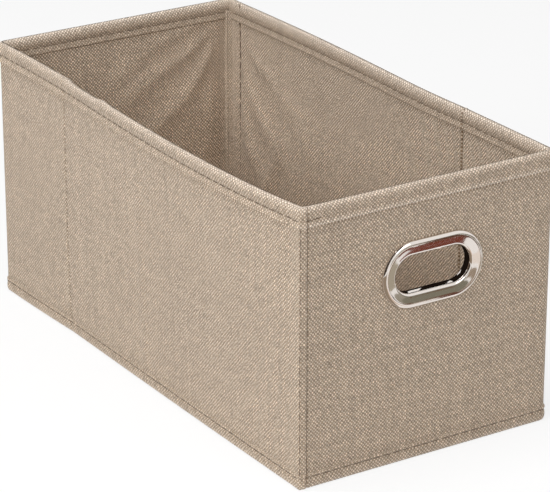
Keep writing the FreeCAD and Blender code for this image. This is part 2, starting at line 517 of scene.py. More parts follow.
# For each cloth: waves in a metre along and up, the seed, the height in mm of the broad and the
# fine waves, and how many fine ones there are to a broad one
OUTER_UNEVEN = (28, 22, 0.0, 0.12, 0.06, 2.7)
LINING_UNEVEN = (22, 18, 3.0, 0.16, 0.08, 2.3)
# Height in mm, middle and spread of the outer cloth's forms: the ridge in the middle of the left
# wall, the swellings below the rim tape and above the hem, and the dip at the rim tape's edge
LEFT_RIDGE = (0.45, -3.5 * MM, 2.6 * MM)
LEFT_RIDGE_TOP, LEFT_RIDGE_FADE = 135 * MM, 40 * MM
RIM_SWELL = (0.3, 5 * MM, 3 * MM)
HEM_SWELL = (0.14, 5 * MM, 4 * MM)
TAPE_DIP = (0.42, 0.0, 0.6 * MM)


def outer_relief(line, z):
    """The outer cloth's faint unevenness, its swellings and the left wall's ridge."""
    face, s = line.place
    out = uneven(line, z, *OUTER_UNEVEN)
    if face == "left":
        out += ridge(s, *LEFT_RIDGE) * ease((LEFT_RIDGE_TOP - z) / LEFT_RIDGE_FADE)
    under_tape = TOP - rim_reach(line) - z
    out += ridge(under_tape, *RIM_SWELL) + ridge(z - HEM_TOP, *HEM_SWELL)
    return MM * (out * line.play - ridge(under_tape, *TAPE_DIP))


# Pleats that fan out from the top of the back right corner: angle from the upright, height in mm
PLEATS = {
    "back": ((0.3, 1.0), (0.62, 1.5), (0.88, 1.2), (1.12, 0.7)),
    "right": ((0.2, 1.4), (0.36, 2.0), (0.56, 1.3), (0.84, 1.0)),
}
PLEAT_SPREAD = 0.075
# They begin and end at these distances from the corner's top, in mm, each over a second length, and
# waver by a small angle over a length
PLEAT_START, PLEAT_START_FADE = 14, 26
PLEAT_END, PLEAT_END_FADE = 150, 70
WAVER, WAVER_LENGTH, WAVER_SHIFT = 0.1, 24, 5
# Forms of the right wall's lining in mm, each a ridge across the fold's line and one down the wall:
# a slanted fold and the hollow behind it
FOLD_SLANT, FOLD_DEPTH = 0.5, 100
SLANTED_FOLD = ((1.4, 46, 5), (1, FOLD_DEPTH, 26))
FOLD_HOLLOW = ((0.3, 56, 6), (1, 104, 24))
# The strip's sewn row presses into the lining between two depths in mm, each with a fade, and the
# pleats keep clear of it
ROW_DIP = (0.42, SEAM_LINE, 1.1 * MM)
ROW_START, ROW_START_FADE = 10, 6
ROW_END, ROW_END_FADE = 90, 50
ROW_CLEAR = 5 * MM
DEEPEST = -0.46


def lining_relief(line, z):
    """The lining's unevenness and its pleats near the back right corner."""
    face, s = line.place
    out = uneven(line, z, *LINING_UNEVEN)
    if face not in PLEATS or (face == "right" and s < 0):
        return MM * out * line.play
    away = (HALF_WIDTH - s if face == "back" else HALF_LENGTH - s) / MM
    down = (TOP - z) / MM
    reach = math.hypot(away, down)
    angle = math.atan2(away, max(down, 1.0))
    window = ease((reach - PLEAT_START) / PLEAT_START_FADE) * ease((PLEAT_END - reach) / PLEAT_END_FADE)
    if face == "right":
        window *= 1 - hump(s, SEAM_LINE, ROW_CLEAR)
    for place, high in PLEATS[face]:
        bent = place + WAVER * math.sin(reach / WAVER_LENGTH + WAVER_SHIFT * place)
        out += high * window * hump(angle, bent, PLEAT_SPREAD)
    if face == "right":
        across = away + FOLD_SLANT * (down - FOLD_DEPTH)
        out += ridge(across, *SLANTED_FOLD[0]) * ridge(down, *SLANTED_FOLD[1])
        out -= ridge(across, *FOLD_HOLLOW[0]) * ridge(down, *FOLD_HOLLOW[1])
    out *= line.play
    if face == "right":
        pressed = ease((down - ROW_START) / ROW_START_FADE) * ease((ROW_END - down) / ROW_END_FADE)
        out -= ridge(s, *ROW_DIP) * pressed
    return MM * max(out, DEEPEST)


# Half of a folded tape's section, from its free edge to the middle of its fold: inset inside the
# tape's face in mm, and distance from the folded edge as a share of the tape's reach
RIM_SECTION = (
    (0.46, 0.985), (0.1, 1.0), (-0.4, 0.995), (-0.72, 0.965), (-0.7, 0.93), (-0.45, 0.88),
    (-0.16, 0.82), (-0.02, 0.72), (0.16, 0.69), (0.3, 0.65), (0.14, 0.61), (-0.12, 0.52),
    (-0.36, 0.42), (-0.5, 0.31), (-0.46, 0.22), (-0.28, 0.145), (0.06, 0.08), (0.55, 0.035),
    (1.1, 0.01), (1.6, 0.0),
)
HEM_SECTION = (
    (0.34, 1.0), (0.04, 0.995), (-0.18, 0.96), (-0.22, 0.92), (-0.08, 0.86), (0.2, 0.81),
    (0.36, 0.77), (0.2, 0.73), (-0.04, 0.64), (-0.2, 0.5), (-0.22, 0.35), (0.0, 0.18),
    (0.36, 0.08), (0.9, 0.02), (1.5, 0.0),
)


def front_share(line):
    """From 0 to 1, how far an upright is on the front wall."""
    front = (2 * HALF_WIDTH + 4 * HALF_LENGTH, PERIMETER)
    near = min(line.run - front[0], front[1] - line.run, line.run + PERIMETER - front[0])
    near = max(near, -line.run) + WIDE
    return ease(near / (2 * WIDE))


def rim_reach(line):
    """How far the rim tape reaches down at a place: less on the front wall."""
    return sizes().rim_tape + (sizes().front_rim_tape - sizes().rim_tape) * front_share(line)


def hem_reach(line):
    return HEM_TOP


# A folded tape: its section's ridges have this share of their height inside, the rim is rounder
# inside, a lowered edge eases out within a depth, and its fold is this share of the tape thick
INNER_RIDGES = 0.45
ROUND_OFF, ROUND_OFF_DEPTH = 0.8 * MM, 4.5 * MM
FOLD_DEPTH_EASED = 6 * MM
FOLD_THICKNESS = 0.9
# The painted highlight along the front rim's free edge starts at this share of the reach and would
# be full after the second share
EDGE_HIGHLIGHT_START, EDGE_HIGHLIGHT_FADE = 0.7, 0.4
# The tapes get this share of the lining's painted shade in the right crease and beside the strip
TAPE_SHADE = 0.7


def tape(name, uprights, section, edge, reach, step=None):
    """A tape folded over an edge at a height: the rim's hangs down, the hem's stands up.

    Its painted highlight runs along the front rim's free edge outside, and painted shade darkens it
    inside in the right wall's crease and beside the back right strip.
    """
    is_rim = edge > HEM_TOP
    downwards = -1 if is_rim else 1
    round_off = ROUND_OFF if is_rim else 0.0
    seen, hidden, rises, wear = [], [], [], []
    half = [(0.0, inset * MM, drop) for inset, drop in section]
    other = []
    for _, inset, drop in reversed(half):
        other.append((1.0, inset * (INNER_RIDGES if inset < 0.2 * MM else 1), drop))
    outline = half + [(0.5, 0.0, 0.0)] + other
    developed = 0.0
    for i, (share, inset, drop) in enumerate(outline):
        if i:
            before = outline[i - 1]
            across = THICK / 2 - inset if share == 0.5 or before[0] == 0.5 else inset - before[1]
            fall = (drop - before[2]) * reach(uprights[0])
            developed += math.hypot(across if abs(across) < THICK else 0.0, fall)
        rises.append(developed)
    middle = rises[len(half)]
    rises = [rise - middle for rise in rises]
    for line in uprights:
        shift = step(line) if step else 0.0
        # A painted highlight along the front rim's free edge
        edge_highlight = front_share(line) if is_rim else 0.0
        # Painted shade in the right wall's crease and beside the back right strip
        dark = TAPE_SHADE * painted_shade(line, edge)
        front, back, painted_marks = [], [], []
        for share, inset, part in outline:
            drop = part * reach(line)
            z = edge + downwards * drop
            lift = shift * ease(1 - drop / FOLD_DEPTH_EASED)
            if share == 1.0:
                inset += round_off * ease(1 - drop / ROUND_OFF_DEPTH)
            front.append(line.at(share, inset, z + lift))
            under = max(drop, TAPE * FOLD_THICKNESS) if drop < FOLD_DEPTH_EASED else drop
            deeper = inset + TAPE if share != 0.5 else 0.0
            back.append(line.at(share, deeper, edge + downwards * under + lift))
            painted_marks.append(-dark if share else edge_highlight * max(0.0, (part - EDGE_HIGHLIGHT_START) / EDGE_HIGHLIGHT_FADE))
        seen.append(front)
        hidden.append(back)
        wear.append(painted_marks)
    runs = [line.run for line in uprights]
    return sheet_solid(name, seen, hidden, runs, rises, smooth_under=60, wear=wear * 2)


def rim_tape(name, uprights, nest=0.0, step=None):
    return tape(name, uprights, RIM_SECTION, TOP - nest, rim_reach, step)


def hem_tape(name, uprights, nest=0.0):
    return tape(name, uprights, HEM_SECTION, nest, hem_reach)


# The left rim is lower from its overlapped tape end to the crease, with a small bulge at both
OVERLAP, OVERLAP_FADE = 37 * MM, 2.5 * MM
LOW_END, LOW_END_FADE = 75 * MM, 3 * MM
LOW_STEP = 0.95 * MM
BULGE = 0.35 * MM


def rim_step(line):
    """The left rim's overlapped tape end, and the slightly lower stretch up to the crease."""
    face, s = line.place
    if face != "left":
        return 0.0
    low = -LOW_STEP * ease((s - OVERLAP) / OVERLAP_FADE) * ease((LOW_END - s) / LOW_END_FADE)
    bulges = hump(s, OVERLAP - 2 * MM, OVERLAP_FADE) + hump(s, LOW_END + MM, LOW_END_FADE)
    return low + BULGE * bulges


def eyelet_oval():
    """The middle of the eyelet and half the length of its straight runs."""
    low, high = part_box("handle_eyelet")
    return (low + high) / 2, (high.x - low.x - (high.z - low.z)) / 2


def hole_radius():
    """The grip hole's end radius, measured on the eyelet's straight runs."""
    middle, straight = eyelet_oval()
    eyelet = frame["nodes"]["handle_eyelet"]
    points = [eyelet.matrix_world @ vertex.co for vertex in eyelet.data.vertices]
    return min(abs(p.z - middle.z) for p in points if abs(p.x - middle.x) < straight + 0.05 * MM)


def oval_cutter(radius, steps=64):
    """A short oval prism through the front wall, round the handle."""
    middle, straight = eyelet_oval()
    work = bmesh.new()
    rings = []
    for y in (-HALF_LENGTH - 4 * MM, -HALF_LENGTH + 10 * MM):
        ring = []
        for i in range(steps):
            angle = 2 * math.pi * i / steps
            side = math.copysign(straight, math.cos(angle))
            x = middle.x + side + radius * math.cos(angle)
            ring.append(work.verts.new((x, y, middle.z + radius * math.sin(angle))))
        rings.append(ring)
    work.faces.new(rings[0])
    work.faces.new(rings[1])
    for i in range(steps):
        j = (i + 1) % steps
        work.faces.new((rings[0][i], rings[0][j], rings[1][j], rings[1][i]))
    bmesh.ops.recalc_face_normals(work, faces=work.faces)
    return from_bmesh("oval_cutter", work)


def evaluated_mesh(piece):
    """A plain mesh of an object with its modifiers."""
    graph = bpy.context.evaluated_depsgraph_get()
    mesh = bpy.data.meshes.new_from_object(piece.evaluated_get(graph), depsgraph=graph)
    mesh.name = piece.name
    return mesh


# Room between the cloth's cut edge and the eyelet's barrel
HOLE_ROOM = 0.8 * MM


def cut_handle_hole(piece):
    """Cuts the oval hole for the eyelet's barrel."""
    cutter = oval_cutter(hole_radius() + HOLE_ROOM)
    modifier = piece.modifiers.new("handle hole", "BOOLEAN")
    modifier.operation = "DIFFERENCE"
    modifier.solver = "EXACT"
    modifier.object = cutter
    piece.data = evaluated_mesh(piece)
    piece.modifiers.clear()
    bpy.data.objects.remove(cutter)
    piece.data.set_sharp_from_angle(angle=math.radians(50))


# How pieces are held.
# A wide corner's turn leaves out this share of its width at each end
WIDE_INSET = 0.14


def coat(piece, material):
    """Gives a piece its one material."""
    piece.data.materials.clear()
    piece.data.materials.append(material)


def hold(piece, wall, material, slot, nodes=(), hem=False):
    """Puts a finished piece on its wall.

    Pieces of the left front wall, and the hem pieces of the other walls, get a mesh of their own.
    """
    if material:
        coat(piece, material)
    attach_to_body(piece, f"{wall}_wall")
    if nodes:
        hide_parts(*nodes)
    if wall == "left_front":
        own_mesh(piece)
    elif hem:
        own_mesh(piece)


def fold_spans():
    """For each fold, the walls that meet there and where the turn between them starts and ends.

    The right crease's start and end stand in the other order than its walls, so pieces turned by
    them would turn the wrong way.
    """
    spans = {}
    for corner, walls in (
        ("front_left", ("front", "left_front")),
        ("back_left", ("left_rear", "back")),
        ("back_right", ("back", "right_rear")),
    ):
        size, inset = (NARROW, 0.0) if corner == "back_left" else (WIDE, WIDE_INSET)
        start, end = corner_point(corner, size, 0), corner_point(corner, 0, size)
        if walls[0] not in ("front", "back"):
            start, end = end, start
        spans[corner] = (walls, start.lerp(end, inset), end.lerp(start, inset))
    for name, side, walls in (
        ("left_crease", -1, ("left_front", "left_rear")),
        ("right_crease", 1, ("right_rear", "right_front")),
    ):
        x = side * HALF_WIDTH
        ends = [Vector((x, -side * s)) for s in (CREASE_END, 2 * CREASE - CREASE_END)]
        if side > 0:
            ends.reverse()
        spans[name] = (walls, *ends)
    return spans


def bend(piece, fold, material, slot, nodes=()):
    """Coats a soft piece across one fold and bakes its place; nothing turns it with the fold."""
    (first, second), start, end = fold_spans()[fold]
    if material:
        coat(piece, material)
    start, end = (start.x, start.y, 0), (end.x, end.y, 0)
    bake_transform(piece)
    if nodes:
        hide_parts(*nodes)


# Materials

MATH = "ShaderNodeMath"
NOISE = "ShaderNodeTexNoise"
# How far the pattern's threads sway, in threads
SWAY = 1.3
# A slub is long along its thread and short across it: its pattern's scales, in threads
ACROSS_SLUB, ALONG_SLUB = 0.9, 0.12
# How dark the gaps between the threads are, and how much the painted light and shade lightens and
# bleaches the cloth where it is a painted highlight, and darkens it where it is painted shade
GAP_DARKNESS = 0.85
LIGHT_AND_SHADE_STRENGTH, LIGHT_AND_SHADE_BLEACH = 0.42, 0.3
# On a tape a painted highlight makes the cloth paler within this distance of its fold
FOLD_HIGHLIGHT_DEPTH = 6.5 * MM
# Patches of the mottled cloth in a millimetre, then the grain of thread, board and scuffed chrome,
# and the chrome's waves, which are longer
MOTTLE_PER_MM = 0.06
GRAIN_PER_MM = 0.9
WAVE_PER_MM = 0.12


def linear(text):
    """A linear colour from an sRGB hex value."""
    values = [int(text[i : i + 2], 16) / 255 for i in (0, 2, 4)]
    return (*[v / 12.92 if v <= 0.04045 else ((v + 0.055) / 1.055) ** 2.4 for v in values], 1.0)


def add(tree, kind, inputs=(), **settings):
    """Adds a node with its settings and inputs.

    Inputs go by place or by name. Each is a value, a socket, or a node, which stands for its first
    output.
    """
    made = tree.nodes.new(kind)
    for name, value in settings.items():
        setattr(made, name, value)
    for key, value in inputs.items() if isinstance(inputs, dict) else enumerate(inputs):
        if isinstance(value, bpy.types.Node):
            value = value.outputs[0]
        if isinstance(value, bpy.types.NodeSocket):
            tree.links.new(value, made.inputs[key])
        else:
            made.inputs[key].default_value = value
    return made


def new_material(name, values):
    """A material with only its surface, with these values, and its output."""
    material = bpy.data.materials.new(name)
    material.use_nodes = True
    tree = material.node_tree
    tree.nodes.clear()
    surface = add(tree, "ShaderNodeBsdfPrincipled", values)
    add(tree, "ShaderNodeOutputMaterial", {"Surface": surface})
    return material, tree, surface


def attach(tree, surface, sockets):
    """Links nodes to the surface's named sockets."""
    for name, node in sockets.items():
        tree.links.new(node.outputs[0], surface.inputs[name])


def woven_cloth(name, warp, weft, folded=False):
    """Plain-woven linen-look polyester: matt slubby threads, warp lighter than weft.

    The threads are just under 1 mm apart, as the photograph's pattern measures, and the weave is
    drawn from the piece's own UV, which is in metres. The painted light and shade attribute makes
    cloth paler above 0, a painted highlight, and darker below, painted shade. On a tape the UV counts
    from the fold, where a painted highlight makes the cloth paler.
    """
    values = {"Roughness": 0.82, "Sheen Weight": 0.12, "Sheen Roughness": 0.5, "Specular IOR Level": 0.25}
    material, tree, surface = new_material(name, values)
    pitch = PERIMETER / sizes().threads
    uv = add(tree, "ShaderNodeUVMap", uv_map="cloth")
    flat = add(tree, "ShaderNodeSeparateXYZ", [uv])
    drift = add(tree, NOISE, {"Vector": uv, "Scale": 0.45 / pitch, "Detail": 2.0})
    drift = add(tree, "ShaderNodeSeparateXYZ", [drift.outputs["Color"]])
    threads = []
    for axis, per_metre in enumerate((1 / pitch, 0.95 / pitch)):
        sway = add(tree, MATH, [drift.outputs[axis], SWAY], operation="MULTIPLY")
        threads.append(add(tree, MATH, [flat.outputs[axis], per_metre, sway], operation="MULTIPLY_ADD"))
    waves = []
    for thread in threads:
        angle = add(tree, MATH, [thread, math.pi], operation="MULTIPLY")
        waves.append(add(tree, MATH, [angle], operation="SINE"))
    over = add(tree, MATH, waves, operation="MULTIPLY")
    raised = add(tree, MATH, [over], operation="ABSOLUTE")

    def slub(scales, seed):
        """Noise drawn out along one thread."""
        place = [add(tree, MATH, pair, operation="MULTIPLY") for pair in zip(threads, scales)]
        place = add(tree, "ShaderNodeCombineXYZ", [*place, seed])
        return add(tree, NOISE, {"Vector": place, "Scale": 1.0, "Detail": 2.0})

    def chance(x, y):
        """A random number for each crossing, or for each thread when one of the two is a number."""
        place = add(tree, "ShaderNodeCombineXYZ", [x, y])
        return add(tree, "ShaderNodeTexWhiteNoise", {"Vector": place}, noise_dimensions="2D")

    slubs = [slub((ACROSS_SLUB, ALONG_SLUB), 1.7), slub((ALONG_SLUB, ACROSS_SLUB), 9.3)]
    slubs = add(tree, MATH, slubs, operation="ADD")
    column, row = [add(tree, MATH, [thread], operation="FLOOR") for thread in threads]
    thread_luck = add(tree, MATH, [chance(column, -7.0), chance(-5.0, row)], operation="ADD")
    speckle = add(tree, MATH, [thread_luck, 0.25, chance(column, row)], operation="MULTIPLY_ADD")
    crisp = add(tree, MATH, [over, 2.4], operation="MULTIPLY")
    crisp = add(tree, "ShaderNodeClamp", [crisp, -1.0, 1.0])
    side = add(tree, MATH, [crisp, 0.5, 0.5], operation="MULTIPLY_ADD")
    # The Mix node's colour sockets are found by their places, 6 and 7, and the result is output 2
    dyed = add(tree, "ShaderNodeMix", {0: side, 6: linear(weft), 7: linear(warp)}, data_type="RGBA")
    gap = add(tree, MATH, [raised, 0.3], operation="POWER")
    gap = add(tree, MATH, [1.0, gap], operation="SUBTRACT")
    gap = add(tree, MATH, [gap, GAP_DARKNESS], operation="MULTIPLY")
    colours_used = {0: gap, 6: dyed.outputs[2], 7: linear(colours().gap)}
    cloth = add(tree, "ShaderNodeMix", colours_used, data_type="RGBA")
    mottle = add(tree, NOISE, {"Vector": uv, "Scale": MOTTLE_PER_MM / MM, "Detail": 3.0})
    level = add(tree, MATH, [mottle, 0.05, 0.975], operation="MULTIPLY_ADD")
    for variation, mean, weight in ((slubs, 1.0, 0.12), (speckle, 0.75, 0.4)):
        about_mean = add(tree, MATH, [variation, mean], operation="SUBTRACT")
        level = add(tree, MATH, [about_mean, weight, level], operation="MULTIPLY_ADD")
    # Painted light and shade from the mesh: a painted highlight above 0, painted shade below 0
    wear = add(tree, "ShaderNodeAttribute", attribute_name="wear").outputs["Fac"]
    # On a tape, also a painted highlight along the fold
    if folded:
        from_fold = add(tree, MATH, [flat.outputs[1]], operation="ABSOLUTE")
        from_fold = add(tree, MATH, [from_fold, FOLD_HIGHLIGHT_DEPTH], operation="DIVIDE")
        fold_highlight = add(tree, MATH, [1.0, from_fold], operation="SUBTRACT")
        fold_highlight = add(tree, "ShaderNodeClamp", [fold_highlight])
        wear = add(tree, MATH, [fold_highlight, wear], operation="MAXIMUM")
    level = add(tree, MATH, [wear, LIGHT_AND_SHADE_STRENGTH, level], operation="MULTIPLY_ADD")
    saturation = add(tree, MATH, [wear, -LIGHT_AND_SHADE_BLEACH, 1.0], operation="MULTIPLY_ADD")
    final = {"Value": level, "Saturation": saturation, "Color": cloth.outputs[2]}
    final = add(tree, "ShaderNodeHueSaturation", final)
    height = add(tree, MATH, [raised, 0.45], operation="POWER")
    height = add(tree, MATH, [slubs, 0.25, height], operation="MULTIPLY_ADD")
    bump = add(tree, "ShaderNodeBump", {"Strength": 0.55, "Distance": 0.22 * MM, "Height": height})
    attach(tree, surface, {"Base Color": final, "Normal": bump})
    return material


def sewing_thread(name):
    """Spun polyester sewing thread: two plies twisted round each other, matt."""
    material, tree, surface = new_material(name, {"Roughness": 0.7})
    place = add(tree, "ShaderNodeTexCoord").outputs["Object"]
    twist = {"Vector": place, "Scale": GRAIN_PER_MM / MM, "Distortion": 2.0}
    twist = add(tree, "ShaderNodeTexWave", twist, bands_direction="DIAGONAL")
    tints = {0: twist.outputs[1], 6: linear(colours().gap), 7: linear(colours().sewing)}
    tint = add(tree, "ShaderNodeMix", tints, data_type="RGBA")
    tree.links.new(tint.outputs[2], surface.inputs["Base Color"])
    return material


def greyboard(name):
    """Uncoated pasteboard pressed from waste paper: speckled grey, dead matt."""
    material, tree, surface = new_material(name, {"Roughness": 0.9})
    place = add(tree, "ShaderNodeTexCoord").outputs["Object"]
    speck = add(tree, NOISE, {"Vector": place, "Scale": GRAIN_PER_MM / MM, "Detail": 4.0})
    tint = add(tree, "ShaderNodeValToRGB", [speck])
    stops = ((0.35, colours().board_speck), (0.6, colours().board))
    for element, (position, text) in zip(tint.color_ramp.elements, stops):
        element.position = position
        element.color = linear(text)
    bump = add(tree, "ShaderNodeBump", {"Strength": 0.3, "Distance": 0.1 * MM, "Height": speck})
    attach(tree, surface, {"Base Color": tint, "Normal": bump})
    return material


def polished_chrome(name):
    """Bright chrome plate on pressed steel: a mirror with the press's faint waviness."""
    material, tree, surface = new_material(name, {"Metallic": 1.0, "Base Color": linear(colours().chrome)})
    place = add(tree, "ShaderNodeTexCoord").outputs["Object"]
    wave = add(tree, NOISE, {"Vector": place, "Scale": WAVE_PER_MM / MM, "Detail": 2.0})
    scuff = add(tree, NOISE, {"Vector": place, "Scale": GRAIN_PER_MM / MM, "Detail": 5.0})
    rough = add(tree, MATH, [scuff, 0.05, 0.045], operation="MULTIPLY_ADD")
    bump = add(tree, "ShaderNodeBump", {"Strength": 0.12, "Distance": 0.3 * MM, "Height": wave})
    attach(tree, surface, {"Roughness": rough, "Normal": bump})
    return material


def seen_rays(tree):
    """1 for rays from the camera, off metal and through glass, and 0 for all others."""
    path = add(tree, "ShaderNodeLightPath").outputs
    seen = [path["Is Camera Ray"], path["Is Glossy Ray"]]
    seen = add(tree, MATH, seen, operation="MAXIMUM")
    return add(tree, MATH, [seen, path["Is Transmission Ray"]], operation="MAXIMUM")


def studio_floor():
    """Matt white paper sweep that the camera sees as white, with the object's shadow kept."""
    values = {"Base Color": linear(colours().floor), "Roughness": 0.9}
    material, tree, surface = new_material("white_paper_sweep", values)
    share = add(tree, MATH, [seen_rays(tree), 0.8], operation="MULTIPLY")
    glow = add(tree, "ShaderNodeEmission", {"Color": (1, 1, 1, 1), "Strength": 1.0})
    mixed = add(tree, "ShaderNodeMixShader", [share, surface, glow])
    output = next(n for n in tree.nodes if n.type == "OUTPUT_MATERIAL")
    tree.links.new(mixed.outputs[0], output.inputs["Surface"])
    return material


def finish(name):
    """The material of that name, made once."""
    makers = {
        "woven_outer_cloth": lambda: woven_cloth(name, colours().warp, colours().weft),
        "woven_lining_cloth": lambda: woven_cloth(name, colours().lining_warp, colours().lining_weft),
        "woven_binding_tape": lambda: woven_cloth(name, colours().warp, colours().weft, folded=True),
        "spun_sewing_thread": lambda: sewing_thread(name),
        "pressed_greyboard": lambda: greyboard(name),
        "polished_chrome_plate": lambda: polished_chrome(name),
    }
    return bpy.data.materials.get(name) or makers[name]()


# Geometry Nodes trees


def new_tree(name, numbers):
    """A tree with a geometry in and out, a material and named numbers."""
    tree = bpy.data.node_groups.new(name, "GeometryNodeTree")
    tree.interface.new_socket("Geometry", in_out="INPUT", socket_type="NodeSocketGeometry")
    for label, kind in numbers.items():
        tree.interface.new_socket(label, in_out="INPUT", socket_type=kind)
    tree.interface.new_socket("Material", in_out="INPUT", socket_type="NodeSocketMaterial")
    tree.interface.new_socket("Geometry", in_out="OUTPUT", socket_type="NodeSocketGeometry")
    return tree, add(tree, "NodeGroupInput").outputs


def end_tree(tree, given, shape):
    """Ends a tree with smooth real geometry in its material."""
    real = add(tree, "GeometryNodeRealizeInstances", {"Geometry": shape})
    smooth = add(tree, "GeometryNodeSetShadeSmooth", {"Geometry": real})
    last = {"Geometry": smooth, "Material": given["Material"]}
    add(tree, "NodeGroupOutput", {0: add(tree, "GeometryNodeSetMaterial", last)})
    return tree


def stitch_tree():
    """Lays one spindle-shaped stitch at every pitch along each sewn line."""
    name = "sewn_rows"
    if name in bpy.data.node_groups:
        return bpy.data.node_groups[name]
    number = "NodeSocketFloat"
    labels = {"Pitch": number, "Stitch length": number, "Thread thickness": number, "Seed": "NodeSocketInt"}
    tree, given = new_tree(name, labels)
    lines = add(tree, "GeometryNodeMeshToCurve", {"Mesh": given["Geometry"]})
    points = {"Curve": lines, "Length": given["Pitch"]}
    points = add(tree, "GeometryNodeResampleCurve", points, mode="LENGTH")
    tangent = add(tree, "GeometryNodeInputTangent")
    lean = 0.05
    wobble = {0: (-lean, -lean, -lean), 1: (lean, lean, lean), "Seed": given["Seed"]}
    wobble = add(tree, "FunctionNodeRandomValue", wobble, data_type="FLOAT_VECTOR")
    heading = add(tree, "ShaderNodeVectorMath", [tangent, wobble], operation="ADD")
    turn = add(tree, "FunctionNodeAlignRotationToVector", {"Vector": heading}, axis="X")
    half = []
    for label in ("Stitch length", "Thread thickness"):
        half.append(add(tree, MATH, [given[label], 0.5], operation="MULTIPLY"))
    size = add(tree, "ShaderNodeCombineXYZ", [half[0], half[1], half[1]])
    stitch = add(tree, "GeometryNodeMeshUVSphere", {"Segments": 8, "Rings": 6, "Radius": 1.0})
    placed = {"Points": points, "Instance": stitch, "Rotation": turn, "Scale": size}
    return end_tree(tree, given, add(tree, "GeometryNodeInstanceOnPoints", placed))


def run_tree(piece, tree, values):
    """Runs a tree on an object and leaves a plain mesh."""
    modifier = piece.modifiers.new(tree.name, "NODES")
    modifier.node_group = tree
    for item in tree.interface.items_tree:
        if item.item_type == "SOCKET" and item.in_out == "INPUT" and item.name in values:
            modifier[item.identifier] = values[item.name]
    piece.update_tag()
    mesh = evaluated_mesh(piece)
    piece.modifiers.clear()
    piece.data = mesh
    return piece


def stitches(name, rows, seed):
    """One mesh with the stitches of several rows; a row is a list of points."""
    work = bmesh.new()
    for row in rows:
        verts = [work.verts.new(p) for p in row]
        for a, b in zip(verts, verts[1:]):
            work.edges.new((a, b))
    mesh = bpy.data.meshes.new(name)
    work.to_mesh(mesh)
    work.free()
    values = {
        "Pitch": sizes().stitch_pitch,
        "Stitch length": sizes().stitch_length,
        "Thread thickness": sizes().stitch_thickness,
        "Seed": seed,
        "Material": finish("spun_sewing_thread"),
    }
    return run_tree(new_object(name, mesh), stitch_tree(), values)


# Operators

# Where the cloths and boards end: the cloths are tucked under the tapes
TUCK = 1 * MM
WALL_CLOTH = (HEM_TOP - TUCK, WALL_TOP - 1.6 * MM)
CORNER_CLOTH = (HEM_TOP - TUCK, RIM_LOW + 4 * MM)
BOARD_TOP = WALL_TOP - 1.4 * MM
BOARD_GRID = 5 * MM
BOARD_PLAY = 0.02 * MM
# The front right corner's inner wrap lies this far inside the outer one
NEST = 0.45 * MM
# How deep the sewn creases are drawn in, outside and inside
CLOTH_GROOVE = (0.55 * MM, 1.4 * MM)
RIM_GROOVE = (0.3 * MM, 1.1 * MM)
HEM_GROOVE = (0.4 * MM, 0.9 * MM)
CREASES = (("left_crease", -1), ("right_crease", 1))


class BASKET_OT_boards(bpy.types.Operator):
    """Make the greyboard panel inside each wall"""

    bl_idname = "basket.boards"
    bl_label = "Greyboards"

    def execute(self, context):
        for wall in WALLS:
            uprights = wall_uprights(wall, BOARD_GRID)
            heights = spread(HEM_TOP, BOARD_TOP, BOARD_GRID)
            depth = TAPE + CLOTH + BOARD_PLAY
            faces = [[[line.at(share, depth, z) for z in heights] for line in uprights] for share in (0, 1)]
            piece = sheet_solid(f"board_{wall}", *faces, [line.run for line in uprights], heights)
            if wall == "front":
                cut_handle_hole(piece)
            hold(piece, wall, finish("pressed_greyboard"), "greyboard", [f"{wall}_board"])
        return {"FINISHED"}


class BASKET_OT_cloths(bpy.types.Operator):
    """Make the outer cloth and the lining of each wall"""

    bl_idname = "basket.cloths"
    bl_label = "Outer cloths and linings"

    def execute(self, context):
        for wall in WALLS:
            uprights = wall_uprights(wall)
            for name, share, relief, slot in (
                ("outer_cloth", 0, outer_relief, "outer_cloth"),
                ("lining", 1, lining_relief, "lining_cloth"),
            ):
                piece = layer(f"{name}_{wall}", uprights, share, TAPE, WALL_CLOTH, relief)
                if wall == "front":
                    cut_handle_hole(piece)
                hold(piece, wall, finish(f"woven_{slot}"), slot, [f"{wall}_{name}"])
        return {"FINISHED"}


class BASKET_OT_tapes(bpy.types.Operator):
    """Make the tapes folded over the rim and round the hem of each wall"""

    bl_idname = "basket.tapes"
    bl_label = "Rim and hem tapes"

    def execute(self, context):
        weave = finish("woven_binding_tape")
        for wall in WALLS:
            uprights = wall_uprights(wall)
            rim = rim_tape(f"rim_tape_{wall}", uprights, step=rim_step)
            hold(rim, wall, weave, "binding_tape", [f"{wall}_rim_tape"])
            hem = hem_tape(f"hem_tape_{wall}", uprights)
            hold(hem, wall, weave, "binding_tape", [f"{wall}_hem_tape"], hem=True)
        return {"FINISHED"}


